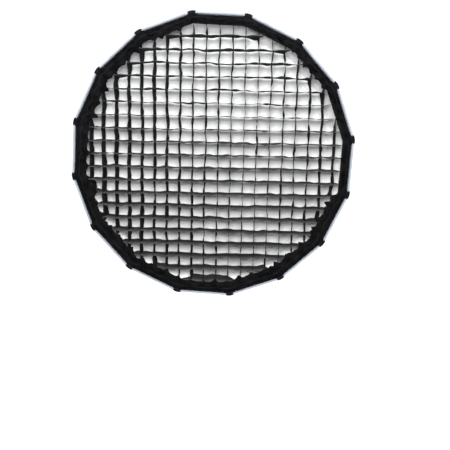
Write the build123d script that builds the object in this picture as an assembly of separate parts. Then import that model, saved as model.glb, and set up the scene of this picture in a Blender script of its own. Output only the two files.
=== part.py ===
from build123d import *

import math
import os

# Sixteen-rib folding softbox with a recessed fabric diffuser and an egg-crate grid.
# Millimetres. Origin: centre of the seat that meets the lamp. +Y points back to the lamp,
# -Y is the way the light goes, +Z is up.

RIBS = 16
PITCH_DEG = 360 / RIBS
HALF_DEG = PITCH_DEG / 2

# lamp adapter ring
BORE_R = 49.0
COLLAR_R = 59.0
COLLAR_LENGTH = 10.0
LUG_R = 64.0
LUG_DEG = 32.0
LUG_BACK = 4.0
LUG_THICK = 5.0
SEAT_R = 75.5
SEAT_THICK = 6.0
JOURNAL_R = 60.0
KEEPER_R = 66.0
KEEPER_BACK = -12.0
KEEPER_FRONT = -18.0
RUN_GAP = 0.06
END_GAP = 0.1

# hub, split in two halves at the plane of the hinge pins
HUB_R = 98.0
HUB_BACK = -6.2
PIN_Y = -16.0
HUB_FRONT = -28.0
HUB_OPEN_R = 53.0
PIN_RING_R = 88.0
SLOT_WIDTH = 8.6
SLOT_INNER_R = 79.0
SLOT_BACK = -8.0
PIN_R = 1.5
PIN_LENGTH = 22.0
SCREW_RING_R = 72.5
SCREW_R = 2.0
SCREW_END_Y = -9.0
SCREW_HEAD_R = 3.5
SCREW_HEAD = 4.0
SCREWS = 8

# lock screw at the bottom, release button at the top
LOCK_R = 3.0
LOCK_Y = -11.0
LOCK_TIP = 66.5
KNOB_R = 10.0
KNOB_INNER = 101.5
KNOB_LENGTH = 16.0
BUTTON_R = 3.0
BUTTON_TIP = 80.0
BUTTON_HEAD_R = 4.6
BUTTON_TRAVEL = 3.0
BUTTON_HEAD = 4.0

# ribs: each is a circular arc from its hinge to its tip, bulging outwards
TIP_R = 438.0
TIP_Y = -478.0
BOW = 28.0
ROD_R = 2.5
FOOT_WIDTH = 8.0
FOOT_THICK = 7.0
FOOT_LENGTH = 28.0
FOOT_EYE_R = 5.0
ROD_START = 10.0
PIN_GAP = 0.04

# shell
SHELL_OFF = 5.5
SHELL_THICK = 0.8
SHELL_START = 18.0
SHELL_STATIONS = 12
SEAM_GAP = 0.15
CAP_WIDTH = 25.0
CAP_LENGTH = 32.0
CAP_IN = 9.0
CAP_OUT = 8.0
CAP_FRONT = 3.0

# front flap, edge binding, diffuser and grid
FLAP_THICK = 1.2
FLAP_FRONT_Y = -477.5
FLAP_R = 432.0
FLAP_IN_R = 408.0
RECESS = 75.0
RECESS_R = 392.0
RECESS_IN_R = 370.0
BINDING_IN = 426.0
BINDING_OUT = 433.5
BINDING_Y = -477.8
BINDING_THICK = 1.9
DIFFUSER_R = 390.0
DIFFUSER_THICK = 1.0
HEM_R = 431.5
HEM_IN_R = 405.0
HEM_THICK = 1.5
GRID_R = 407.4
GRID_BACK_R = 401.0
GRID_DEPTH = 55.0
CELL = 40.2
CELL_TURN_DEG = 2.5
CELL_SHIFT = (-1.9, -11.9)
STRIP = 1.0
INNER_Y = -200.0
INNER_GAP = 14.0
INNER_THICK = 0.8


def rib_angle(k):
    """Degrees of rib k about the optical axis, from +X towards +Z."""
    return HALF_DEG + PITCH_DEG * k


def chord():
    """Length of the rib's chord and its angle from the optical axis, in radians."""
    out, ahead = TIP_R - PIN_RING_R, PIN_Y - TIP_Y
    return math.hypot(out, ahead), math.atan2(out, ahead)


def arc_point(share, off=0.0):
    """(radius, y) at a share of the rib's arc, moved outwards by off."""
    length, tilt = chord()
    half = 2 * math.atan2(2 * BOW, length)
    radius = length / 2 / math.sin(half)
    turn = half * (1 - 2 * share)
    along = length / 2 - radius * math.sin(turn)
    rise = radius * (math.cos(turn) - math.cos(half))
    along += -off * math.sin(turn)
    rise += off * math.cos(turn)
    r = PIN_RING_R + along * math.sin(tilt) + rise * math.cos(tilt)
    y = PIN_Y - along * math.cos(tilt) + rise * math.sin(tilt)
    return r, y


def arc_length():
    length, _ = chord()
    half = 2 * math.atan2(2 * BOW, length)
    return length * half / math.sin(half)


def start_tilt():
    """Degrees between the rib and the optical axis at its hinge."""
    length, tilt = chord()
    return math.degrees(tilt + 2 * math.atan2(2 * BOW, length))


def turned(shape, degrees):
    """Shape turned about the optical axis, from +X towards +Z."""
    return shape.rotate(Axis.Y, -degrees)


def ring(outer, inner, back, front):
    """Tube on the optical axis between two planes of y."""
    profile = Rectangle(outer - inner, back - front, align=(Align.MIN, Align.MIN))
    return revolve(Pos(inner, front) * profile, Axis.Y)


def bar(radius, length):
    """Round bar standing on the origin along +Z."""
    return Cylinder(radius, length, align=(Align.CENTER, Align.CENTER, Align.MIN))


def rod_at(radius, r0, r1, y):
    """Round bar standing radially along +X from r0 to r1 at a y."""
    return Pos(r0, y, 0) * Rot(0, 90, 0) * bar(radius, r1 - r0)


def rod_along(radius, r, front, back):
    """Round bar parallel to the optical axis at r on +X, between two values of y."""
    return Pos(r, front, 0) * Rot(-90, 0, 0) * bar(radius, back - front)


def polygon_face(circumradius, y):
    """Sixteen-sided face in a plane of y, with its corners at the ribs."""
    corners = [math.radians(rib_angle(k)) for k in range(RIBS)]
    points = [(circumradius * math.cos(a), y, circumradius * math.sin(a)) for a in corners]
    return Face(Wire.make_polygon([Vector(*p) for p in points], close=True))


def plate(outer, inner, back, front):
    """Sixteen-sided flat band between two planes of y."""
    shape = extrude(polygon_face(outer, back), amount=back - front, dir=(0, -1, 0))
    if inner:
        shape -= extrude(polygon_face(inner, back + 1), amount=back - front + 2, dir=(0, -1, 0))
    return shape


def tapered(r_back, back, r_front, front):
    """Solid sixteen-sided frustum along the optical axis."""
    return loft([polygon_face(r_back, back), polygon_face(r_front, front)], ruled=True)


def adapter_ring():
    """Bayonet collar with three lugs, seat flange, journal and the keeper rim inside the hub."""
    body = ring(COLLAR_R, BORE_R, COLLAR_LENGTH, 0)
    body += ring(SEAT_R, BORE_R, 0, -SEAT_THICK)
    body += ring(JOURNAL_R, BORE_R, -SEAT_THICK, KEEPER_BACK)
    body += ring(KEEPER_R, BORE_R, KEEPER_BACK, KEEPER_FRONT)
    lug = Pos(BORE_R + 1, LUG_BACK) * Rectangle(LUG_R - BORE_R - 1, LUG_THICK, align=(Align.MIN, Align.MIN))
    for k in range(3):
        body += turned(revolve(lug, Axis.Y, LUG_DEG), 90 + 120 * k + LUG_DEG / 2)
    return body


def pin_slots(shape):
    """Shape less the slots for the rib feet and the seats of their pins."""
    slot = Box(
        HUB_R - SLOT_INNER_R + 5,
        SLOT_BACK - HUB_FRONT + 5,
        SLOT_WIDTH,
        align=(Align.MIN, Align.MAX, Align.CENTER),
    )
    slot = Pos(SLOT_INNER_R, SLOT_BACK, 0) * slot
    seat = Pos(PIN_RING_R, PIN_Y, 0) * Cylinder(PIN_R + 0.02, PIN_LENGTH + 0.4)
    cutters = [turned(tool, rib_angle(k)) for k in range(RIBS) for tool in (slot, seat)]
    return shape - cutters


def screw_angle(k):
    return PITCH_DEG + 2 * PITCH_DEG * k


def screw():
    """Cap screw on +X, its head just below the hub's front face."""
    seat = HUB_FRONT + SCREW_HEAD + 0.5
    body = rod_along(SCREW_R, SCREW_RING_R, seat, SCREW_END_Y)
    body += rod_along(SCREW_HEAD_R, SCREW_RING_R, seat - SCREW_HEAD, seat)
    socket = Rot(-90, 0, 0) * extrude(RegularPolygon(1.7, 6), amount=2.2)
    return body - Pos(SCREW_RING_R, seat - SCREW_HEAD - 0.01, 0) * socket


def screw_hole():
    """Space of one cap screw, open to the front."""
    seat = HUB_FRONT + SCREW_HEAD + 0.5
    hole = rod_along(SCREW_R + 0.1, SCREW_RING_R, seat, SCREW_END_Y + 0.5)
    return hole + rod_along(SCREW_HEAD_R + 0.3, SCREW_RING_R, HUB_FRONT - 2, seat)


def hub_rear():
    """Rear half of the hub: runs on the journal, holds the lock screw and the button."""
    body = ring(HUB_R, JOURNAL_R + RUN_GAP, HUB_BACK, PIN_Y)
    body -= ring(KEEPER_R + RUN_GAP, BORE_R, KEEPER_BACK + END_GAP, PIN_Y - 1)
    body = pin_slots(body)
    body -= [turned(screw_hole(), screw_angle(k)) for k in range(SCREWS)]
    body -= turned(rod_at(LOCK_R + 0.05, JOURNAL_R - 5, HUB_R + 5, LOCK_Y), 270)
    body -= turned(rod_at(BUTTON_R + 0.05, BUTTON_TIP - BUTTON_TRAVEL - 0.5, HUB_R + 5, LOCK_Y), 90)
    return body


def hub_front():
    """Front half of the hub: clamps the hinge pins and keeps the adapter ring in."""
    body = ring(HUB_R, HUB_OPEN_R, PIN_Y, HUB_FRONT)
    body = chamfer(body.edges().filter_by(GeomType.CIRCLE).group_by(Axis.Y)[0], 2.5)
    body -= ring(KEEPER_R + RUN_GAP, BORE_R, PIN_Y + 1, KEEPER_FRONT - END_GAP)
    body = pin_slots(body)
    body -= [turned(screw_hole(), screw_angle(k)) for k in range(SCREWS)]
    return body


def hub_screws():
    return Compound(children=[turned(screw(), screw_angle(k)) for k in range(SCREWS)])


def hinge_pins():
    pin = Pos(PIN_RING_R, PIN_Y, 0) * Cylinder(PIN_R, PIN_LENGTH)
    return Compound(children=[turned(pin, rib_angle(k)) for k in range(RIBS)])


def lock_knob():
    """Screw with a fluted knob, pointing down."""
    stud = rod_at(LOCK_R, LOCK_TIP, KNOB_INNER + 1, LOCK_Y)
    collar = rod_at(LOCK_R * 2, HUB_R + 0.4, KNOB_INNER + 1, LOCK_Y)
    knob = rod_at(KNOB_R, KNOB_INNER, KNOB_INNER + KNOB_LENGTH, LOCK_Y)
    knob = chamfer(knob.edges().filter_by(GeomType.CIRCLE), 1.2)
    flute = rod_at(1.9, KNOB_INNER - 1, KNOB_INNER + KNOB_LENGTH + 1, LOCK_Y - KNOB_R)
    axis = Axis((0, LOCK_Y, 0), (1, 0, 0))
    flutes = [flute.rotate(axis, 36 * n) for n in range(10)]
    return turned(stud + collar + (knob - flutes), 270)


def release_button():
    """Round push button on a stem, pointing up."""
    stem = rod_at(BUTTON_R, BUTTON_TIP, HUB_R + BUTTON_TRAVEL + 1, LOCK_Y)
    base = HUB_R + BUTTON_TRAVEL + 0.3
    head = rod_at(BUTTON_HEAD_R, base, base + BUTTON_HEAD, LOCK_Y)
    head = fillet(head.edges().filter_by(GeomType.CIRCLE).sort_by(Axis.X)[-1], 1.2)
    return turned(stem + head, 90)


def rod_line(first, last, count=9):
    """Curve along the rib's arc in the plane of +X and Y, between two shares of it."""
    shares = [first + (last - first) * n / (count - 1) for n in range(count)]
    return Spline(*[(*arc_point(s), 0) for s in shares])


def rib_rod():
    """Rod of one rib, on +X, from inside its foot to its tip."""
    path = rod_line(ROD_START / arc_length(), 1.0)
    return sweep(Plane(path @ 0, z_dir=path % 0) * Circle(ROD_R), path=path)


def rib_foot():
    """Moulded foot of one rib, on +X: the eye on the hinge pin and the socket for the rod."""
    eye = Pos(PIN_RING_R, PIN_Y, 0) * Cylinder(FOOT_EYE_R, FOOT_WIDTH)
    arm = Box(FOOT_THICK, FOOT_LENGTH, FOOT_WIDTH, align=(Align.CENTER, Align.MAX, Align.CENTER))
    arm = Pos(PIN_RING_R, PIN_Y, 0) * Rot(0, 0, start_tilt()) * arm
    body = eye + arm
    path = rod_line(ROD_START / arc_length() * 0.98, 60 / arc_length(), 4)
    socket = sweep(Plane(path @ 0, z_dir=path % 0) * Circle(ROD_R + 0.05), path=path)
    body -= socket
    body -= Pos(PIN_RING_R, PIN_Y, 0) * Cylinder(PIN_R + PIN_GAP, FOOT_WIDTH + 2)
    return body


def gore_section(r, y):
    """Cross-section of one panel in a plane of y: a shallow ridge over the rib on +X."""
    half = math.radians(HALF_DEG)
    points = []
    for radius, sides in ((r, (-1, 0, 1)), (r - SHELL_THICK * 1.15, (1, 0, -1))):
        for side in sides:
            if side:
                u = radius * math.cos(half) ** 2
                v = side * (radius * math.cos(half) * math.sin(half) - SEAM_GAP)
            else:
                u, v = radius, 0
            points.append(Vector(u, y, v))
    return Face(Wire.make_polygon(points, close=True))


def gore_panel():
    """One sixteenth of the shell, on +X, centred on its rib, with the pocket of its corner."""
    first = SHELL_START / arc_length()
    shares = [first + (1 - first) * n / (SHELL_STATIONS - 1) for n in range(SHELL_STATIONS)]
    panel = loft([gore_section(*arc_point(s, SHELL_OFF)) for s in shares], ruled=True)
    r, y = arc_point(1.0, SHELL_OFF)
    cap = Box(CAP_IN + CAP_OUT, CAP_LENGTH, CAP_WIDTH, align=(Align.MIN, Align.MIN, Align.CENTER))
    cap = Pos(r - CAP_IN, y - CAP_FRONT, 0) * cap
    lean = Axis((r, y, 0), (0, 0, 1))
    cap = cap.rotate(lean, 24)
    cap = fillet(cap.edges().filter_by(Axis.Z).group_by(Axis.X)[-1], 5)
    path = rod_line(0.9, 1.006, 5)
    hole = sweep(Plane(path @ 0, z_dir=path % 0) * Circle(ROD_R + 0.3), path=path)
    return panel + cap - hole


def front_flap():
    """Front band, recess wall and rear band that the grid and the diffuser fasten to."""
    back = FLAP_FRONT_Y + RECESS
    wall = tapered(RECESS_R, back, FLAP_R, FLAP_FRONT_Y)
    slope = (FLAP_R - RECESS_R) / RECESS
    wide = FLAP_THICK * math.hypot(1, slope)
    hollow = tapered(RECESS_R - wide - slope, back + 1, FLAP_R - wide + slope, FLAP_FRONT_Y - 1)
    body = wall - hollow
    body += plate(FLAP_R, FLAP_IN_R, FLAP_FRONT_Y + FLAP_THICK, FLAP_FRONT_Y)
    body += plate(RECESS_R, RECESS_IN_R, back, back - FLAP_THICK)
    return body


def edge_binding():
    """Light binding along the sixteen sides, interrupted by the corner pockets."""
    side = 2 * BINDING_OUT * math.tan(math.radians(HALF_DEG)) - CAP_WIDTH - 5
    strip = Pos(BINDING_IN, BINDING_Y, 0) * Box(
        BINDING_OUT - BINDING_IN, BINDING_THICK, side, align=(Align.MIN, Align.MAX, Align.CENTER)
    )
    return Compound(children=[turned(strip, PITCH_DEG * k) for k in range(RIBS)])


def front_diffuser():
    back = FLAP_FRONT_Y + RECESS - FLAP_THICK - 0.3
    return plate(DIFFUSER_R, 0, back, back - DIFFUSER_THICK)


def inner_diffuser():
    shares = [n / 400 for n in range(401)]
    r = min((abs(arc_point(s)[1] - INNER_Y), arc_point(s)[0]) for s in shares)[1]
    return plate(r - INNER_GAP, 0, INNER_Y, INNER_Y - INNER_THICK)


def grid():
    """Egg-crate of square cells, narrowing to its back, hanging from a flat hem band."""
    front = FLAP_FRONT_Y - 0.3
    back = front + GRID_DEPTH
    count = 2 * math.ceil(GRID_R / CELL) + 1
    face = Plane.XZ * RegularPolygon(GRID_R, RIBS, rotation=HALF_DEG)
    cell = Rectangle(CELL - STRIP, CELL - STRIP)
    lay = Plane.XZ * Rot(0, 0, CELL_TURN_DEG) * Pos(*CELL_SHIFT)
    cells = [lay * place * cell for place in GridLocations(CELL, CELL, count, count)]
    web = Pos(0, front, 0) * extrude(face - cells, amount=-GRID_DEPTH)
    web &= tapered(GRID_BACK_R, back, GRID_R, front)
    return web + plate(HEM_R, HEM_IN_R, front, front - HEM_THICK)


def main():
    os.makedirs("parts", exist_ok=True)
    shapes = {
        "adapter_ring": adapter_ring(),
        "hub_rear": hub_rear(),
        "hub_front": hub_front(),
        "hub_screws": hub_screws(),
        "hinge_pins": hinge_pins(),
        "lock_knob": lock_knob(),
        "release_button": release_button(),
        "inner_diffuser": inner_diffuser(),
        "front_flap": front_flap(),
        "edge_binding": edge_binding(),
        "front_diffuser": front_diffuser(),
        "grid": grid(),
    }
    rod, foot, gore = rib_rod(), rib_foot(), gore_panel()
    for k in range(RIBS):
        shapes[f"rib_rod_{k:02d}"] = turned(rod, rib_angle(k))
        shapes[f"rib_foot_{k:02d}"] = turned(foot, rib_angle(k))
        shapes[f"shell_panel_{k:02d}"] = turned(gore, rib_angle(k))
    for name, shape in shapes.items():
        export_step(shape, f"parts/{name}.step")


main()
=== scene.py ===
import math
import random

import bpy
import numpy as np
from mathutils import Matrix, Vector


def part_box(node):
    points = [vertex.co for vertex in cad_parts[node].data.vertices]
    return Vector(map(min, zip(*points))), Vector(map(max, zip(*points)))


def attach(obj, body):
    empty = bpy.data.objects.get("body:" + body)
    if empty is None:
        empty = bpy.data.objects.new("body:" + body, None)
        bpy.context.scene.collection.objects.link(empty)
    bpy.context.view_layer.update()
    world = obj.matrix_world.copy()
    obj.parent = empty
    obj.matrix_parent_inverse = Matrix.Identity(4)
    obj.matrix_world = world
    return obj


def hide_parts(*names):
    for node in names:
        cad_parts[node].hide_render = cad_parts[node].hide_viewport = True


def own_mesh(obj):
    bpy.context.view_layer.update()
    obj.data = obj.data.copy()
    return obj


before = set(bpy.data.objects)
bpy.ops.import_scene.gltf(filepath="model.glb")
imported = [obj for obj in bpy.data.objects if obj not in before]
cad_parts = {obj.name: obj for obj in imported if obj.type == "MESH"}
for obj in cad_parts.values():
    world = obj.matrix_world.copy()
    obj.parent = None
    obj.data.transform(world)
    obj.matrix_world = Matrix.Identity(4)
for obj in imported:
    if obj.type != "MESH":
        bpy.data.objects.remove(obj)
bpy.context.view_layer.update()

RIBS = 16
PITCH = 2 * math.pi / RIBS
HALF = PITCH / 2
MM = 0.001
WEDGES = 32
WEDGE = 2 * math.pi / WEDGES

CLOTH = 0.8 * MM
SHELL_STOP = 1.9 * MM
SEAM_WIDE = 10.4 * MM
SEAM_SHARE = 0.95
REAR_HEM_R = 1.9 * MM
LIP_WIDE = 24 * MM
BINDING_IN_R = 430.9 * MM
POCKET_CLEAR = 11.5 * MM
GRID_FRONT_R = 410 * MM
GRID_BACK_R = 400 * MM
GRID_DEPTH = 55 * MM
GRID_TURN = math.radians(2.5)
CELL = 40.2 * MM
SHIFT = (18.2 * MM, 8.2 * MM)
STRIP_THICK = 1.3 * MM
BAND_IN_R = 409.5 * MM
BAND_PAST_EDGE = 4.2 * MM
FLOOR_Z = -1.35


# ---------------------------------------------------------------- geometry of the frame
def node_points(name):
    return np.array([v.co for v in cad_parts[name].data.vertices], float)


def in_rib_plane(points):
    """(outwards, sideways, y) of points, seen from rib 0."""
    c, s = math.cos(HALF), math.sin(HALF)
    return points[:, 0] * c + points[:, 2] * s, points[:, 2] * c - points[:, 0] * s, points[:, 1]


def fit_arc():
    """Centre (outwards, y) of the circle that the rods follow."""
    u, _, y = in_rib_plane(node_points("rib_rod_00"))
    a = np.c_[2 * u, 2 * y, np.ones(len(u))]
    centre_u, centre_y, _ = np.linalg.lstsq(a, u * u + y * y, rcond=None)[0]
    return centre_u, centre_y


ARC_U, ARC_Y = fit_arc()


def measure_shell():
    """Radius of the shell's ridge round the arc's centre, and the y at which it starts behind."""
    u, v, y = in_rib_plane(node_points("shell_panel_00"))
    ridge_points = (np.abs(v) < 0.5 * MM) & (y > -300 * MM)
    reach = np.hypot(u[ridge_points] - ARC_U, y[ridge_points] - ARC_Y)
    return float(reach.max()), float(y[ridge_points].max())


SHELL_R, START_Y = measure_shell()
RIM_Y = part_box("front_flap")[0].y


def arc_angle(y):
    """Angle round the arc's centre at which the shell's ridge reaches y."""
    return math.acos((y - ARC_Y) / SHELL_R)


A0 = arc_angle(START_Y)
A1 = arc_angle(RIM_Y + SHELL_STOP)
ARC_LENGTH = SHELL_R * abs(A1 - A0)


def ridge(s, off=0.0):
    """(radius, y) of the shell's ridge at a share s of its length from hub to rim."""
    a = A0 + (A1 - A0) * s
    return ARC_U + (SHELL_R + off) * math.sin(a), ARC_Y + (SHELL_R + off) * math.cos(a)


def share_at(y):
    """Share of the ridge's length, from hub to rim, at which it reaches y."""
    return (arc_angle(y) - A0) / (A1 - A0)


def place(k, u, v, y):
    """Point at outwards u, sideways v of rib k, in the row frame."""
    a = HALF + PITCH * k
    return (u * math.cos(a) - v * math.sin(a), y, u * math.sin(a) + v * math.cos(a))


def chord(radius, w):
    """(outwards, sideways) on the two half sides at a corner; w runs from -1 to 1, mid-side to mid-side."""
    return radius * (1 - abs(w) * math.sin(HALF) ** 2), w * radius * math.cos(HALF) * math.sin(HALF)


# ---------------------------------------------------------------- meshes
def build(name, verts, faces, material, slots=None, uvs=None, smooth=True):
    """Mesh object; slots gives each face's material, and uvs each point's place on the cloth."""
    mesh = bpy.data.meshes.new(name)
    mesh.from_pydata([tuple(v) for v in verts], [], faces)
    for m in material if isinstance(material, (list, tuple)) else [material]:
        mesh.materials.append(m)
    if slots:
        mesh.polygons.foreach_set("material_index", slots)
    if uvs is not None:
        layer = mesh.uv_layers.new(name="cloth")
        loops = np.zeros(len(mesh.loops), np.int32)
        mesh.loops.foreach_get("vertex_index", loops)
        layer.data.foreach_set("uv", np.array(uvs, np.float32)[loops].ravel())
    mesh.polygons.foreach_set("use_smooth", [smooth] * len(mesh.polygons))
    mesh.update()
    mesh.set_sharp_from_angle(angle=math.radians(50))
    obj = bpy.data.objects.new(name, mesh)
    bpy.context.scene.collection.objects.link(obj)
    return obj


class Patch:
    """Points and faces gathered for one object, with a material slot per face and a uv per point."""

    def __init__(self):
        self.v, self.f, self.m, self.uv = [], [], [], []

    def sheet(self, rows, uvs, thick=None, front=0, back=0, edge=0):
        """Grid of points as cloth: one layer, or closed where thick gives each point's offset to the back."""
        n, m, base = len(rows), len(rows[0]), len(self.v)
        for r, t in zip(rows, uvs):
            self.v += r
            self.uv += t
        for i in range(n - 1):
            for j in range(m - 1):
                a = base + i * m + j
                self.f.append((a, a + 1, a + m + 1, a + m))
                self.m.append(front)
        if thick is None:
            return
        back_base = len(self.v)
        for r, o, t in zip(rows, thick, uvs):
            self.v += [tuple(np.add(p, q)) for p, q in zip(r, o)]
            self.uv += t
        for i in range(n - 1):
            for j in range(m - 1):
                a = back_base + i * m + j
                self.f.append((a, a + m, a + m + 1, a + 1))
                self.m.append(back)
        ring = [(0, j) for j in range(m)] + [(i, m - 1) for i in range(1, n)]
        ring += [(n - 1, j) for j in range(m - 2, -1, -1)] + [(i, 0) for i in range(n - 2, 0, -1)]
        for p, q in zip(ring, ring[1:] + ring[:1]):
            a, b = p[0] * m + p[1], q[0] * m + q[1]
            self.f.append((base + b, base + a, back_base + a, back_base + b))
            self.m.append(edge)

    def object(self, name, material):
        return build(name, self.v, self.f, material, self.m, self.uv)


def sew_to_rib(obj, k, slot_name, r, y):
    """Cloth that goes with rib k, with a mesh of its own; r and y are not used."""
    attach(obj, f"rib_{k:02d}")
    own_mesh(obj)


# ---------------------------------------------------------------- materials
def nodes_of(name):
    mat = bpy.data.materials.new(name)
    mat.use_nodes = True
    tree = mat.node_tree
    return mat, tree, tree.nodes["Principled BSDF"]


def add(tree, kind, **values):
    node = tree.nodes.new(kind)
    for key, value in values.items():
        if key in node.inputs:
            node.inputs[key].default_value = value
        else:
            setattr(node, key, value)
    return node


def ramp(tree, fac, stops):
    node = tree.nodes.new("ShaderNodeValToRGB")
    while len(node.color_ramp.elements) < len(stops):
        node.color_ramp.elements.new(0.5)
    for e, (at, colour) in zip(node.color_ramp.elements, stops):
        e.position = at
        e.color = (*colour, 1)
    tree.links.new(fac, node.inputs["Fac"])
    return node.outputs["Color"]


def link_roughness(tree, shader, fac, rough, stops=(0.3, 0.7)):
    """Roughness that goes from rough[0] to rough[1] as a pattern rises from one stop to the other."""
    levels = [(at, (value,) * 3) for at, value in zip(stops, rough)]
    tree.links.new(ramp(tree, fac, levels), shader.inputs["Roughness"])


def mix_colour(tree, fac, under, over):
    """Colour of a surface that shows a second colour where fac is 1."""
    mix = add(tree, "ShaderNodeMix", data_type="RGBA")
    tree.links.new(fac, mix.inputs[0])
    tree.links.new(under, mix.inputs[6])
    mix.inputs[7].default_value = (*over, 1)
    return mix.outputs[2]


def maths(tree, kind, a, b=None, c=None):
    node = tree.nodes.new("ShaderNodeMath")
    node.operation = kind
    for slot, value in zip(node.inputs, (a, b, c)):
        if value is None:
            continue
        if isinstance(value, (int, float)):
            slot.default_value = value
        else:
            tree.links.new(value, slot)
    return node.outputs[0]


def bump(tree, shader, heights):
    """Chains bumps, each (height socket, strength, distance), into the shader."""
    last = None
    for height, strength, distance in heights:
        node = add(tree, "ShaderNodeBump", Strength=strength, Distance=distance)
        tree.links.new(height, node.inputs["Height"])
        if last:
            tree.links.new(last, node.inputs["Normal"])
        last = node.outputs["Normal"]
    tree.links.new(last, shader.inputs["Normal"])


def noise(tree, coords, scale, detail=3.0, rough=0.55):
    node = add(tree, "ShaderNodeTexNoise", Scale=scale, Detail=detail, Roughness=rough)
    tree.links.new(coords, node.inputs["Vector"])
    return node.outputs["Fac"]


def split(tree, coords):
    """First two coordinates of a vector."""
    parts = tree.nodes.new("ShaderNodeSeparateXYZ")
    tree.links.new(coords, parts.inputs[0])
    return parts.outputs[0], parts.outputs[1]


def wave(tree, along, per_metre):
    """Sine with so many waves to the metre."""
    return maths(tree, "SINE", maths(tree, "MULTIPLY", along, per_metre * 2 * math.pi))


def threads(tree, cloth, per_metre):
    """Height of a plain weave: waves along and across the cloth, crossed."""
    return maths(tree, "MULTIPLY", *[wave(tree, along, per_metre) for along in cloth])


def cloth_material(
    name, dark, light, rough=(0.62, 0.82), sheen=0.08, gloss=0.12, weave=1100, ripstop=0, crease=0.6 * MM
):
    """Woven cloth of uneven colour and roughness, raised by its weave and creases.

    weave is in threads to the metre, and ripstop adds squares of thicker thread, so many to the metre.
    """
    mat, tree, shader = nodes_of(name)
    where = tree.nodes.new("ShaderNodeTexCoord")
    cloth, solid = split(tree, where.outputs["UV"]), where.outputs["Object"]
    patches = noise(tree, solid, 9, 4)
    fine = noise(tree, solid, 140, 2)
    both = maths(tree, "MULTIPLY_ADD", fine, 0.35, maths(tree, "MULTIPLY", patches, 0.65))
    height = threads(tree, cloth, weave)
    colour = ramp(tree, both, [(0.3, dark), (0.7, light)])
    if ripstop:
        lines = [maths(tree, "GREATER_THAN", wave(tree, along, ripstop), 0.97) for along in cloth]
        squares = maths(tree, "MAXIMUM", *lines)
        raised = [min(1, 1.9 * c) for c in light]
        colour = mix_colour(tree, maths(tree, "MULTIPLY", squares, 0.5), colour, raised)
        height = maths(tree, "ADD", height, squares)
    tree.links.new(colour, shader.inputs["Base Color"])
    link_roughness(tree, shader, patches, rough, (0.3, 0.75))
    shader.inputs["Sheen Weight"].default_value = sheen
    shader.inputs["Sheen Roughness"].default_value = 0.4
    shader.inputs["Specular IOR Level"].default_value = gloss
    bump(tree, shader, [(noise(tree, solid, 24, 3, 0.5), 0.35, crease * 3), (height, 0.5, 0.00012)])
    return mat


def translucent_material(name, tint, through):
    """Thin white diffusion cloth that passes part of the light."""
    mat, tree, shader = nodes_of(name)
    where = tree.nodes.new("ShaderNodeTexCoord")
    solid = where.outputs["Object"]
    patches = noise(tree, solid, 14, 4)
    height = threads(tree, split(tree, where.outputs["UV"]), 1400)
    colour = ramp(tree, patches, [(0.3, tuple(c * 0.965 for c in tint)), (0.7, tint)])
    tree.links.new(colour, shader.inputs["Base Color"])
    link_roughness(tree, shader, noise(tree, solid, 60), (0.7, 0.85))
    bump(tree, shader, [(noise(tree, solid, 20, 3, 0.6), 0.25, 0.002), (height, 0.4, 0.0001)])
    thin = tree.nodes.new("ShaderNodeBsdfTranslucent")
    tree.links.new(colour, thin.inputs["Color"])
    mixed = add(tree, "ShaderNodeMixShader", Fac=through)
    tree.links.new(shader.outputs[0], mixed.inputs[1])
    tree.links.new(thin.outputs[0], mixed.inputs[2])
    tree.links.new(mixed.outputs[0], tree.nodes["Material Output"].inputs["Surface"])
    return mat


def stitched_material(name, dark, light, thread, across=(0.14, 0.86), pitch=4.2 * MM):
    """Tape with rows of stitches at shares of its width; u is in metres along it, v from 0 to 1 across it."""
    mat, tree, shader = nodes_of(name)
    where = tree.nodes.new("ShaderNodeTexCoord")
    solid = where.outputs["Object"]
    along, side = split(tree, where.outputs["UV"])
    dash = maths(tree, "GREATER_THAN", wave(tree, along, 1 / pitch), -0.35)
    off_row = [maths(tree, "ABSOLUTE", maths(tree, "SUBTRACT", side, at)) for at in across]
    rows = [maths(tree, "LESS_THAN", off, 0.035) for off in off_row]
    stitch = maths(tree, "MULTIPLY", dash, maths(tree, "MAXIMUM", *rows) if len(rows) > 1 else rows[0])
    base = ramp(tree, noise(tree, solid, 40, 3), [(0.3, dark), (0.7, light)])
    tree.links.new(mix_colour(tree, stitch, base, thread), shader.inputs["Base Color"])
    link_roughness(tree, shader, noise(tree, solid, 90), (0.6, 0.8))
    shader.inputs["Specular IOR Level"].default_value = 0.005
    ribs = wave(tree, along, 1 / (1.2 * MM))
    bump(tree, shader, [(noise(tree, solid, 55, 3), 0.3, 0.001), (ribs, 0.35, 0.0001), (stitch, 0.9, 0.0004)])
    return mat


def hard_material(name, dark, light, rough, metal=0.0, coat=0.0, grain=220):
    """Moulded or machined part: mottled colour, uneven gloss, fine grain and rubbed scratches."""
    mat, tree, shader = nodes_of(name)
    solid = tree.nodes.new("ShaderNodeTexCoord").outputs["Object"]
    mottled = ramp(tree, noise(tree, solid, 35, 4), [(0.3, dark), (0.7, light)])
    tree.links.new(mottled, shader.inputs["Base Color"])
    link_roughness(tree, shader, noise(tree, solid, 60, 5, 0.65), rough, (0.35, 0.65))
    shader.inputs["Metallic"].default_value = metal
    shader.inputs["Coat Weight"].default_value = coat
    stretched = add(tree, "ShaderNodeMapping", Scale=(30, 900, 30))
    tree.links.new(solid, stretched.inputs["Vector"])
    scratches = noise(tree, stretched.outputs[0], 6, 2)
    bump(tree, shader, [(noise(tree, solid, grain * 8, 2), 0.12, 0.0003), (scratches, 0.06, 0.0002)])
    return mat


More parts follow.
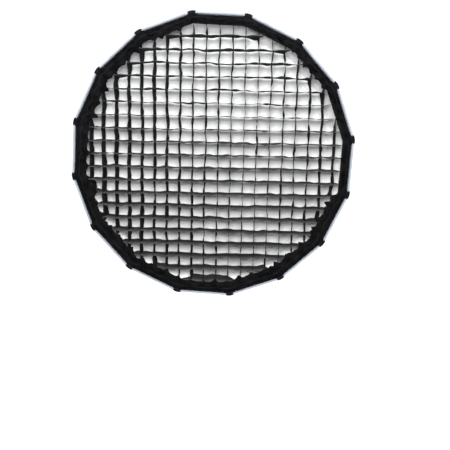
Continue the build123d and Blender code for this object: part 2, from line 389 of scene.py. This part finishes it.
BLACK = cloth_material("shell_black", (0.006, 0.006, 0.0065), (0.014, 0.014, 0.015), ripstop=180)
SILVER = cloth_material("shell_silver", (0.55, 0.55, 0.56), (0.72, 0.72, 0.73), rough=(0.28, 0.42), sheen=0.0)
SILVER.node_tree.nodes["Principled BSDF"].inputs["Metallic"].default_value = 0.85
LINING = cloth_material(
    "recess_lining", (0.78, 0.785, 0.79), (0.86, 0.865, 0.87), rough=(0.7, 0.85), sheen=0.0, crease=0.1 * MM
)
MATT_BLACK = dict(rough=(0.7, 0.9), gloss=0.03)
FLAP = cloth_material(
    "flap_black", (0.0012, 0.0012, 0.0014), (0.003, 0.003, 0.0033), weave=800, sheen=0.02, **MATT_BLACK
)
MATT_STRIP = dict(weave=900, sheen=0.0, **MATT_BLACK)
# Painted light and shade: the grid is one black cloth, but the level strips and the tacks get a lighter copy,
# as if lit from above on their tops, and the upright strips get a darker copy, as if in shade.
WEB_PAINTED_LIT = cloth_material("grid_black_painted_lit", (0.018, 0.0178, 0.0182), (0.031, 0.0305, 0.0315), **MATT_STRIP)
WEB_PAINTED_SHADE = cloth_material(
    "grid_black_painted_shade", (0.006, 0.0059, 0.0061), (0.012, 0.0118, 0.0122), **MATT_STRIP
)
HEM = stitched_material(
    "hem_black", (0.0007, 0.0007, 0.0008), (0.003, 0.003, 0.0033), (0.006, 0.006, 0.0065), across=(0.62,)
)
TAPE = stitched_material("seam_tape", (0.005, 0.005, 0.0055), (0.012, 0.012, 0.013), (0.04, 0.04, 0.042))
BINDING = stitched_material(
    "binding_grey", (0.10, 0.112, 0.132), (0.145, 0.16, 0.185), (0.19, 0.205, 0.22), across=(0.7,)
)
CAP = stitched_material("pocket_black", (0.002, 0.002, 0.0022), (0.005, 0.005, 0.0055), (0.016, 0.016, 0.017))
WHITE = translucent_material("diffusion_white", (0.86, 0.865, 0.87), 0.3)
# Painted shade: this white is darker than the recess cloth's white, so that the ledge round the front
# diffuser and the diffuser hems, which lie in full light outside the strips' shadows, look no brighter than
# the shaded cloth beside them.
WHITE_HEM_PAINTED_SHADE = cloth_material("diffuser_hem_painted_shade", (0.56, 0.565, 0.57), (0.66, 0.665, 0.67), sheen=0.0, gloss=0.05)
ELASTIC = cloth_material("elastic_black", (0.006, 0.006, 0.007), (0.016, 0.016, 0.017))
ALLOY = hard_material("adapter_alloy", (0.30, 0.30, 0.31), (0.42, 0.42, 0.43), (0.26, 0.42), metal=1.0)
HUB = hard_material("hub_anodised", (0.008, 0.008, 0.009), (0.017, 0.017, 0.0185), (0.50, 0.66))
STEEL = hard_material("screw_steel", (0.42, 0.42, 0.43), (0.60, 0.60, 0.61), (0.2, 0.36), metal=1.0)
ROD = hard_material("rod_fibre", (0.020, 0.020, 0.022), (0.045, 0.045, 0.048), (0.3, 0.5), grain=90)
PLASTIC = hard_material("moulded_black", (0.012, 0.012, 0.013), (0.026, 0.026, 0.028), (0.38, 0.56))
RED = hard_material("button_red", (0.42, 0.02, 0.015), (0.55, 0.035, 0.025), (0.28, 0.42), coat=0.3)


# ---------------------------------------------------------------- shell
def cloth_swell(azimuth, s, w):
    """How far a panel's cloth stands in from its straight sides: hollow between ribs, with fine creases."""
    between = 0.5 * (1 - math.cos(math.pi * w))
    hollow = 3.0 * MM * between * math.sin(math.pi * min(1, max(0, s))) ** 0.8
    crease = 0.5 * MM * math.sin(48 * azimuth + 9 * s) * math.sin(math.pi * w) ** 2
    at_rim = 0.9 * MM * math.exp(-(((s - 1) / 0.07) ** 2)) * math.sin(96 * azimuth + 25 * s) * between
    at_hub = 0.8 * MM * math.exp(-((s / 0.06) ** 2)) * math.sin(112 * azimuth) * between
    return hollow + crease + at_rim + at_hub


BANDS = (0, 0.035, 0.08, 0.135, 0.20, 0.28, 0.38, 0.50, 0.64, 0.81, 1.0)
ROWS_ALONG = 48
ACROSS = 17


def skin(k, s, w):
    """Point of the shell's outer face over rib k; s runs from hub to rim, w from mid-side to mid-side."""
    r, y = ridge(s)
    u, v = chord(r, w)
    inward = cloth_swell(HALF + PITCH * k + w * HALF, s, w)
    return Vector(place(k, u - inward, v, y + inward * 0.35))


def skin_normal(k, s, w):
    along = skin(k, s + 0.002, w) - skin(k, s - 0.002, w)
    across = skin(k, s, w + 0.02) - skin(k, s, w - 0.02)
    return across.cross(along).normalized()


def panel(k, s0, s1):
    """Points, cloth coordinates and normals of panel k between two shares of its length."""
    count = max(3, round((s1 - s0) * ROWS_ALONG) + 1)
    shares = [s0 + (s1 - s0) * i / (count - 1) for i in range(count)]
    places = [-1 + 2 * j / (ACROSS - 1) for j in range(ACROSS)]
    rows = [[tuple(skin(k, s, w)) for w in places] for s in shares]
    uvs = [[(s * ARC_LENGTH, chord(ridge(s)[0], w)[1]) for w in places] for s in shares]
    normals = [skin_normal(k, s, w) for s in shares for w in places]
    return rows, uvs, normals


def offsets(k, rows, outwards, back=0.0):
    """Grid of one and the same offset to a cloth's back face: outwards from the axis, and back along y."""
    a = HALF + PITCH * k
    step = (outwards * math.cos(a), back, outwards * math.sin(a))
    return [[step] * len(row) for row in rows]


def shell():
    """Panels of cloth, each in bands, with tape and rear hem."""
    for k in range(RIBS):
        for b, (s0, s1) in enumerate(zip(BANDS, BANDS[1:])):
            rows, uvs, normals = panel(k, s0, s1)
            patch = Patch()
            patch.sheet(rows, uvs, offsets(k, rows, -CLOTH), 0, 1, 0)
            obj = patch.object(f"shell_{k:02d}_{b}", [BLACK, SILVER])
            obj.data.normals_split_custom_set_from_vertices(normals + [-n for n in normals])
            sew_to_rib(obj, k, "black_cloth", *ridge(s0))
            if b == 0:
                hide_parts(f"shell_panel_{k:02d}")
        seam_tape(k)
        rear_hem(k)


def seam_tape(k):
    """Tape sewn along the ridge of a panel over its rib."""
    rows, uvs = [], []
    count, start, proud, thick = 40, 0.012, 0.9 * MM, 0.7 * MM
    for i in range(count + 1):
        s = start + SEAM_SHARE * i / count
        r, y = ridge(s, proud)
        across = [(j - 2) * SEAM_WIDE / 4 for j in range(5)]
        rows.append([place(k, r - abs(v) * math.tan(HALF) * 0.9, v, y) for v in across])
        uvs.append([(s * ARC_LENGTH, j / 4) for j in range(5)])
    patch = Patch()
    patch.sheet(rows, uvs, offsets(k, rows, -thick))
    obj = patch.object(f"seam_{k:02d}", TAPE)
    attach(obj, f"rib_{k:02d}")


def rear_hem(k):
    """Rolled hem round the shell's rear opening."""
    rows, uvs = [], []
    r, y = ridge(0.0)
    for i in range(9):
        a = 2 * math.pi * i / 8
        row, uv = [], []
        for j in range(13):
            w = -1 + j / 6
            u, v = chord(r, w)
            roll = REAR_HEM_R * (1 + 0.12 * math.sin(HALF + PITCH * k + w * HALF * 9))
            row.append(place(k, u + roll * math.cos(a), v, y + roll * math.sin(a)))
            uv.append((v, i / 8))
        rows.append(row)
        uvs.append(uv)
    patch = Patch()
    patch.sheet(rows, uvs)
    obj = patch.object(f"rear_hem_{k:02d}", TAPE)
    sew_to_rib(obj, k, "black_cloth", r, y)


def rim_band(name, k, profile, material, thick, squash_at, billow):
    """Black strip of cloth along the two half sides at corner k.

    profile is [(radius, y, v)], and thick the way to its back, (outwards, y). Where material is a list of
    two, the second is on the last stretch of the profile.
    """
    rows, uvs = [], []
    across = 13
    for radius, y, v in profile:
        row, uv = [], []
        for j in range(across):
            w = -1 + 2 * j / (across - 1)
            u, side = chord(radius, w)
            lift = billow * math.sin(37 * (HALF + PITCH * k + w * HALF)) * math.sin(math.pi * w) ** 2
            row.append(place(k, u, side, y + lift))
            uv.append((side, v))
        rows.append(row)
        uvs.append(uv)
    patch = Patch()
    patch.sheet(rows, uvs, offsets(k, rows, *thick))
    if isinstance(material, list):
        last, faces = (len(rows) - 2) * (across - 1), across - 1
        patch.m[last : last + faces] = [1] * faces
    obj = patch.object(name, material)
    sew_to_rib(obj, k, "black_cloth", *squash_at)
    return obj


def half_side(name, k, sign, profile):
    """The half of a side's binding next to corner k, on one side of its pocket."""
    rows, uvs = [], []
    for radius, y, v in profile:
        row, uv = [], []
        full = chord(radius, 1)[1]
        for j in range(7):
            side = POCKET_CLEAR + (full - POCKET_CLEAR) * j / 6
            w = side / full
            u, _ = chord(radius, w)
            row.append(place(k, u, sign * side, y + 0.25 * MM * math.sin(60 * w + 5 * k)))
            uv.append((side, v))
        rows.append(row)
        uvs.append(uv)
    patch = Patch()
    patch.sheet(rows, uvs, offsets(k, rows, -0.9 * MM, 0.9 * MM))
    obj = patch.object(name, BINDING)
    sew_to_rib(obj, k, "light_binding", *profile[0][:2])
    return obj


def pocket(k):
    """Black pocket over a corner that takes the tip of the rod."""
    r, y = ridge(1.0)
    lean = math.radians(24)
    around, along = 24, 10
    length, wide, deep = 34 * MM, 30 * MM, 17 * MM
    sunk, ahead, square = 3.0 * MM, 3.4 * MM, 2.3
    rows, uvs = [], []
    for i in range(along + 1):
        t = i / along
        ends = max(0.0, abs(2 * t - 1) - 0.6) / 0.4
        swell = math.sqrt(max(0.0, 1 - 0.8 * ends * ends))
        row, uv = [], []
        for j in range(around + 1):
            a = 2 * math.pi * j / around
            ca, sa = math.cos(a), math.sin(a)
            reach = (abs(ca) ** square + abs(sa) ** square) ** (-1 / square)
            out = deep / 2 * reach * ca * swell
            side = wide / 2 * reach * sa * (0.75 + 0.25 * swell)
            back = length * t - ahead
            u = r - sunk + out * math.cos(lean) - back * math.sin(lean)
            row.append(place(k, u, side, y + out * math.sin(lean) + back * math.cos(lean)))
            uv.append((j / around * 0.07, t))
        rows.append(row)
        uvs.append(uv)
    patch = Patch()
    patch.sheet(rows, uvs)
    for end, order in ((0, 1), (along, -1)):
        ring = list(range(end * (around + 1), end * (around + 1) + around))
        patch.f.append(tuple(ring[::order]))
        patch.m.append(0)
    obj = patch.object(f"pocket_{k:02d}", CAP)
    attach(obj, f"rib_{k:02d}")


def rim():
    """Flap with its lip, the recess wall behind it, the binding and the corner pockets."""
    flap_lo, flap_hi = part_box("front_flap")
    front, back = flap_lo.y, flap_hi.y
    outer = flap_hi.x / math.cos(HALF)
    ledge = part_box("front_diffuser")[1].x / math.cos(HALF)
    edge_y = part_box("edge_binding")[0].y
    edge_r, _ = ridge(1.0)
    lip = [
        (outer - LIP_WIDE, front + 1.2 * MM, 0.0),
        (outer - 13 * MM, front + 1.2 * MM, 0.5),
        (outer - 1.6 * MM, front + 1.2 * MM, 1.0),
    ]
    wall = [
        (outer - 1.8 * MM, front + 1.4 * MM, 0.0),
        (outer - 15 * MM, front + 26 * MM, 0.3),
        (outer - 28 * MM, front + 50 * MM, 0.6),
        (ledge + 1.6 * MM, back - 2.0 * MM, 0.9),
        (ledge - 19 * MM, back - 0.5 * MM, 1.0),
    ]
    tape = [
        (BINDING_IN_R / math.cos(HALF), edge_y + 0.6 * MM, 0.0),
        (edge_r - 2.4 * MM, edge_y + 0.1 * MM, 0.4),
        (edge_r + 0.9 * MM, edge_y + 0.9 * MM, 0.55),
        (edge_r + 1.3 * MM, edge_y + 2.6 * MM, 0.7),
        (edge_r - 1.4 * MM, edge_y + 10 * MM, 1.0),
    ]
    for k in range(RIBS):
        obj = rim_band(f"lip_{k:02d}", k, lip, FLAP, (0, 0.8 * MM), (outer, front), 0.5 * MM)
        if k == 0:
            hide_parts("front_flap")
        # Painted light and shade: the recess wall, mostly in shade, gets the lighter white, and its last
        # stretch, the ledge in full light, gets the darker hem white.
        lining_and_painted_shade = [LINING, WHITE_HEM_PAINTED_SHADE]
        rim_band(f"wall_{k:02d}", k, wall, lining_and_painted_shade, (0.5 * MM, 0.5 * MM), (outer, front), 0.8 * MM)
        for sign, letter in ((1, "a"), (-1, "b")):
            obj = half_side(f"binding_{k:02d}_{letter}", k, sign, tape)
            if k == 0 and sign > 0:
                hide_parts("edge_binding")
        pocket(k)


# ---------------------------------------------------------------- wedges round the axis
def wedge_of(x, z):
    """Number of the wedge in which a point lies."""
    return int(((math.atan2(z, x) / (2 * math.pi)) % 1) * WEDGES) % WEDGES


def gather(obj, body):
    """Cloth of a wedge that goes with a body, with a mesh of its own."""
    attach(obj, body)
    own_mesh(obj)


def side_radius(corner, azimuth):
    """Radius of a sixteen-sided outline at an azimuth."""
    a = (azimuth - HALF) % PITCH - HALF
    return corner * math.cos(HALF) / math.cos(a)


def disc(name, node, body, hem, corner, y, relief):
    """Round sheet in wedges, one layer of translucent cloth with a sewn hem of so large a share."""
    steps = 6
    for wedge in range(WEDGES):
        patch, rim_patch = Patch(), Patch()
        for target, r0, r1, rings in ((patch, 0.004, 1 - hem, 14), (rim_patch, 1 - hem, 1.0, 3)):
            rows, uvs = [], []
            for i in range(rings + 1):
                share = r0 + (r1 - r0) * i / rings
                row, uv = [], []
                for j in range(steps + 1):
                    a = (wedge + j / steps) * WEDGE
                    r = share * side_radius(corner, a)
                    row.append((r * math.cos(a), y + relief(a, share), r * math.sin(a)))
                    uv.append((r * math.cos(a), r * math.sin(a)))
                rows.append(row)
                uvs.append(uv)
            target.sheet(rows, uvs, None if target is patch else [[(0, -MM, 0)] * len(r) for r in rows])
        obj = patch.object(f"{name}_{wedge:02d}", WHITE)
        # The hem gets the white with painted shade, darker than the diffuser cloth though it is lit the same.
        rim_obj = rim_patch.object(f"{name}_hem_{wedge:02d}", WHITE_HEM_PAINTED_SHADE)
        for piece, layers, share in ((obj, 1, 1 - hem), (rim_obj, 2, hem)):
            gather(piece, body)
        if wedge == 0:
            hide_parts(node)


def pucker(a, s):
    """Cloth drawn in by the sixteen places that hold its edge, at a share s from the middle."""
    return 0.5 * MM * math.sin(RIBS * a) * s * s


def slack(a, s):
    """Puckers at the edge, soft waves, and a slight hollow towards the middle."""
    return pucker(a, s) + 0.35 * MM * math.sin(7 * a + 9 * s) - 0.8 * MM * (1 - s * s)


def diffusers():
    """Front diffuser in the recess, and inner diffuser held to the rods by elastic loops."""
    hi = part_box("front_diffuser")[1]
    corner = hi.x / math.cos(HALF)
    disc("front_cloth", "front_diffuser", "diffuser", 0.05, corner, hi.y - 0.2 * MM, slack)
    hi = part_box("inner_diffuser")[1]
    corner, keep = hi.x / math.cos(HALF), 0.38
    disc("inner_cloth", "inner_diffuser", "hub", 0.06, corner, hi.y - 0.1 * MM, pucker)
    sewn, wide = 7 * MM, 6 * MM
    rod = ridge(share_at(hi.y))[0] - 7 * MM
    for k in range(RIBS):
        across = (-wide / 2, 0, wide / 2)
        out = (corner - sewn, corner, rod - 2 * MM, rod)
        rows = [[place(k, r, v, hi.y - 0.4 * MM) for v in across] for r in out]
        uvs = [[(r, v) for v in (0, 0.5, 1)] for r in (0, sewn, 18 * MM, 20 * MM)]
        patch = Patch()
        patch.sheet(rows, uvs, offsets(k, rows, 0, MM))
        obj = patch.object(f"loop_{k:02d}", ELASTIC)
        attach(obj, "hub")
        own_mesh(obj)


# ---------------------------------------------------------------- grid
def grid_place(p, q, y):
    """Point at p across and q up in the grid's own turned axes."""
    c, s = math.cos(GRID_TURN), math.sin(GRID_TURN)
    return (p * c - q * s, y, p * s + q * c)


def inside(p, q, corner):
    """Whether a point of the grid lies inside a sixteen-sided outline."""
    x, _, z = grid_place(p, q, 0)
    return math.hypot(x, z) < side_radius(corner, math.atan2(z, x))


def grid():
    """Egg-crate of limp strips tied where they cross, sewn to a flat band."""
    lo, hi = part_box("grid")
    front, back = lo.y + 1.5 * MM, hi.y
    corner = hi.x / math.cos(HALF)
    sag, lag, count = 1.6 * MM, 0.4, 22
    rng = random.Random(41)
    across = [SHIFT[0] + CELL * (i - count // 2) for i in range(count)]
    up = [SHIFT[1] + CELL * (i - count // 2) for i in range(count)]
    patches = [Patch() for _ in range(WEDGES)]
    lengths = [0.0] * WEDGES
    ends = []
    knots = {}
    for i, p in enumerate(across):
        for j, q in enumerate(up):
            if inside(p, q, GRID_FRONT_R - 3 * MM):
                x, z, u, v = (rng.gauss(0, spread * MM) for spread in (1.4, 1.4, 1.0, 1.0))
                inwards = 1 if inside(p, q, GRID_BACK_R - 5 * MM) else 0.98
                knots[i, j] = (
                    (p + x, q + z - sag),
                    (p * inwards + x * lag + u, q * inwards + z * lag + v),
                )
    for (i, j), here in knots.items():
        for di, dj in ((1, 0), (0, 1), (-1, 0), (0, -1)):
            there = knots.get((i + di, j + dj))
            if there is None:
                out = [reach(across[i], up[j], di, dj, r) for r in (GRID_FRONT_R, GRID_BACK_R)]
                there = ((out[0][0] + rng.gauss(0, MM), out[0][1] + rng.gauss(0, MM)), out[1])
                x, _, z = grid_place(*out[0], 0)
                ends.append((math.atan2(z, x), rng.uniform(1.5, 8.0) * MM))
            elif di + dj < 0:
                continue
            strip(patches, lengths, rng, here, there, di == 0, front, back)
        tack(patches, here, front)
    for w, patch in enumerate(patches):
        # Painted light and shade: level strips and tacks take the lighter black, upright strips the darker
        # one.
        obj = patch.object(f"grid_web_{w:02d}", [WEB_PAINTED_LIT, WEB_PAINTED_SHADE])
        gather(obj, "grid")
        if w == 0:
            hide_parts("grid")
    grid_hem(corner, lo.y, ends)


def reach(p, q, dp, dq, corner):
    """Where a strip that leaves a crossing in a direction meets the sixteen-sided edge."""
    near, far = 0.0, 3 * CELL
    for _ in range(24):
        mid = (near + far) / 2
        if inside(p + dp * mid, q + dq * mid, corner):
            near = mid
        else:
            far = mid
    return p + dp * near, q + dq * near


def strip(patches, lengths, rng, start, end, upright, front, back):
    """One length of strip between two crossings or between a crossing and the band.

    The front edge of a level strip sags low down in the grid, and bows up a little high up in it.
    """
    (a_front, a_back), (b_front, b_back) = start, end
    long = math.dist(a_front, b_front)
    share = min(1.0, long / CELL)
    high = min(1.0, max(0.0, (a_front[1] - 40 * MM) / (180 * MM)))
    sag = (-2.2 + 3.0 * high, -0.2 - 0.5 * high)
    bulge = [rng.gauss(0 if upright else low, 0.9) * MM * share for low in sag]
    curl = [rng.gauss(0, 0.8) * MM * share for _ in range(2)]
    rows, uvs = [], []
    n, m = 8, 5
    for i in range(n + 1):
        t = i / n
        row, uv = [], []
        for j in range(m + 1):
            d = j / m
            p, q = (
                (a_front[c] * (1 - t) + b_front[c] * t) * (1 - d) + (a_back[c] * (1 - t) + b_back[c] * t) * d
                for c in (0, 1)
            )
            off = math.sin(math.pi * t) * (bulge[0] * (1 - d) + bulge[1] * d)
            off += math.sin(2 * math.pi * t) * (curl[0] * (1 - d) + curl[1] * d)
            p, q = (p + off, q) if upright else (p, q + off)
            y = front + (back - front) * d + 0.8 * MM * math.sin(math.pi * t) * (1 - 2 * d)
            row.append(grid_place(p, q, y))
            uv.append((t * long + a_front[upright], d * GRID_DEPTH))
        rows.append(row)
        uvs.append(uv)
    x, _, z = grid_place((a_front[0] + b_front[0]) / 2, (a_front[1] + b_front[1]) / 2, 0)
    w = wedge_of(x, z)
    side = grid_place(*((STRIP_THICK, 0) if upright else (0, STRIP_THICK)), 0)
    # Slot 1 is the darker, painted-shade black for upright strips; slot 0 is the lighter, painted-lit black
    # for level strips.
    slot = int(upright)
    patches[w].sheet(rows, uvs, [[side] * (m + 1) for _ in rows], slot, slot, slot)
    lengths[w] += long


def tack(patches, here, front):
    """Bar of thread that ties two strips where they cross at the front."""
    (p, q), _ = here
    x, _, z = grid_place(p, q, 0)
    patch = patches[wedge_of(x, z)]
    base, r, middle = len(patch.v), 2.1 * MM, 0.6 * MM
    for y in (front - 0.9 * MM, front + 4 * MM):
        for n in range(6):
            a = math.pi * n / 3
            patch.v.append(grid_place(p + middle + r * math.cos(a), q + middle + r * math.sin(a), y))
            patch.uv.append((p + n * MM, q + y))
    patch.f.append(tuple(base + n for n in range(5, -1, -1)))
    patch.f.append(tuple(base + 6 + n for n in range(6)))
    for n in range(6):
        patch.f.append((base + n, base + (n + 1) % 6, base + 6 + (n + 1) % 6, base + 6 + n))
    patch.m += [0] * 8


# How far the band hangs in at the middle of each side, in mm, from the +X side round by the top.
HANG = (-7, -6, 2, -7, -6, 3, 8, 13, 11, 11, 12, 11, 6, 12, 10, 12)


def hang(azimuth):
    """How far the band hangs in from the edge at an azimuth, eased between the middles of the sides."""
    at = (azimuth / PITCH) % RIBS
    n, t = int(at) % RIBS, at - int(at)
    t = t * t * (3 - 2 * t)
    return (HANG[n] * (1 - t) + HANG[(n + 1) % RIBS] * t) * MM


def pull_at(azimuth, ends):
    """How far the band is drawn in at an azimuth: by the sewn ends of strips, least so at the bottom."""
    loose = hang(azimuth)
    near = 0.018
    pull = 0.0
    for end, sewn in ends:
        gap = abs((azimuth - end + math.pi) % (2 * math.pi) - math.pi)
        pull = max(pull, sewn * math.exp(-((gap / near) ** 2)))
    pull *= 1.4 - 0.9 * max(0.0, -math.sin(azimuth)) ** 4 + max(0.0, loose) / (12 * MM)
    return pull + loose + (1.2 * math.sin(13 * azimuth + 1) + 0.8 * math.sin(71 * azimuth)) * MM


def lift_at(a, v):
    """How far the band stands back from its plane, with v from 0 at its inner edge to 1 at its outer one."""
    loose_edge = (1 - v) ** 1.5 * (1.2 * math.sin(62 * a) + 0.7 * math.sin(23 * a))
    crown = math.sin(math.pi * v) * (2.4 + 1.6 * math.sin(33 * a + 13 * v) + 1.3 * math.sin(61 * a - 9 * v))
    return (0.5 + loose_edge - crown + 0.35 * math.sin(41 * a + 7 * v)) * MM


def grid_hem(corner, front, ends):
    """Flat band round the grid, drawn inwards where each strip is sewn to it."""
    around, steps, thick = 24, 8, 0.9 * MM
    for wedge in range(WEDGES):
        rows, uvs = [], []
        places = [(wedge + j / around) * WEDGE for j in range(around + 1)]
        inner_edge = [side_radius(BAND_IN_R, a) - pull_at(a, ends) for a in places]
        outer_edge = [side_radius(corner + BAND_PAST_EDGE, a) for a in places]
        for i in range(steps + 1):
            v = i / steps
            row, uv = [], []
            for a, inner, outer in zip(places, inner_edge, outer_edge):
                r = inner + (outer - inner) * v
                row.append((r * math.cos(a), front + lift_at(a, v), r * math.sin(a)))
                uv.append((r * (a - wedge * WEDGE), v))
            rows.append(row)
            uvs.append(uv)
        patch = Patch()
        patch.sheet(rows, uvs, [[(0, thick, 0)] * (around + 1) for _ in rows])
        obj = patch.object(f"grid_hem_{wedge:02d}", HEM)
        gather(obj, "grid")


# ---------------------------------------------------------------- hard parts
def paint(node, material):
    """Gives a CAD part its one material."""
    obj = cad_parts[node]
    obj.data.materials.clear()
    obj.data.materials.append(material)
    for p in obj.data.polygons:
        p.material_index = 0


def hard_parts():
    for node, material in (
        ("adapter_ring", ALLOY),
        ("hub_rear", HUB),
        ("hub_front", HUB),
        ("hub_screws", STEEL),
        ("hinge_pins", STEEL),
        ("lock_knob", PLASTIC),
        ("release_button", RED),
    ):
        paint(node, material)
    for k in range(RIBS):
        paint(f"rib_rod_{k:02d}", ROD)
        paint(f"rib_foot_{k:02d}", PLASTIC)


# ---------------------------------------------------------------- light, floor, camera
def floor_material():
    mat, tree, shader = nodes_of("floor_white")
    solid = tree.nodes.new("ShaderNodeTexCoord").outputs["Object"]
    paint_tone = ramp(tree, noise(tree, solid, 3, 3), [(0.3, (0.93,) * 3), (0.7, (0.95,) * 3)])
    tree.links.new(paint_tone, shader.inputs["Base Color"])
    shader.inputs["Roughness"].default_value = 0.9
    return mat


def studio():
    """White floor and world, and three soft lights in front of the rim."""
    bpy.ops.mesh.primitive_circle_add(vertices=96, radius=14, fill_type="NGON", location=(0, -0.2, FLOOR_Z))
    floor = bpy.context.object
    floor.name = "floor"
    floor.data.materials.append(floor_material())
    world = bpy.data.worlds.new("studio")
    bpy.context.scene.world = world
    world.use_nodes = True
    background = world.node_tree.nodes["Background"]
    background.inputs["Color"].default_value = (1, 1, 1, 1)
    background.inputs["Strength"].default_value = 1.12
    centre = Vector((0, RIM_Y, 0))

    def area(name, elevation, azimuth, distance, size, power):
        e, a = math.radians(elevation), math.radians(azimuth)
        away = Vector((math.cos(e) * math.sin(a), -math.cos(e) * math.cos(a), math.sin(e)))
        data = bpy.data.lights.new(name, "AREA")
        data.shape, data.energy = "RECTANGLE", power
        data.size, data.size_y = size
        obj = bpy.data.objects.new(name, data)
        obj.location = centre + distance * away
        obj.rotation_euler = (-away).to_track_quat("-Z", "Y").to_euler()
        bpy.context.scene.collection.objects.link(obj)

    area("key", 18, 2, 2.35, (0.9, 0.9), 103)
    area("fill", 3, 0, 3.4, (2.0, 1.2), 18)
    area("top", 62, 0, 2.4, (1.4, 0.7), 170)


SPIN = math.radians(3.67)
EYE = (0.120, 0.096, 1.875)
YAW, TILT = math.radians(2.36), math.radians(9.27)
LENS = 48.0


def camera():
    """Camera in front of the rim, rolled by SPIN, a little right of and above the axis, looking below it."""

    def turn(x, down, ahead):
        c, s = math.cos(SPIN), math.sin(SPIN)
        return Vector((x * c + down * s, ahead, x * s - down * c))

    tilt = np.array([[1, 0, 0], [0, math.cos(TILT), -math.sin(TILT)], [0, math.sin(TILT), math.cos(TILT)]])
    yaw = np.array([[math.cos(YAW), 0, math.sin(YAW)], [0, 1, 0], [-math.sin(YAW), 0, math.cos(YAW)]])
    axes = [turn(*row) for row in tilt @ yaw]
    data = bpy.data.cameras.new("camera")
    data.lens, data.sensor_width = LENS, 36
    data.clip_end = 60
    obj = bpy.data.objects.new("camera", data)
    bpy.context.scene.collection.objects.link(obj)
    place_at = Vector((0, RIM_Y, 0)) + turn(EYE[0], -EYE[1], -EYE[2])
    rot = Matrix((axes[0], -axes[1], -axes[2])).transposed()
    obj.matrix_world = Matrix.Translation(place_at) @ rot.to_4x4()
    bpy.context.scene.camera = obj


shell()
rim()
diffusers()
grid()
hard_parts()
studio()
camera()
bpy.context.scene.view_settings.view_transform = "Standard"
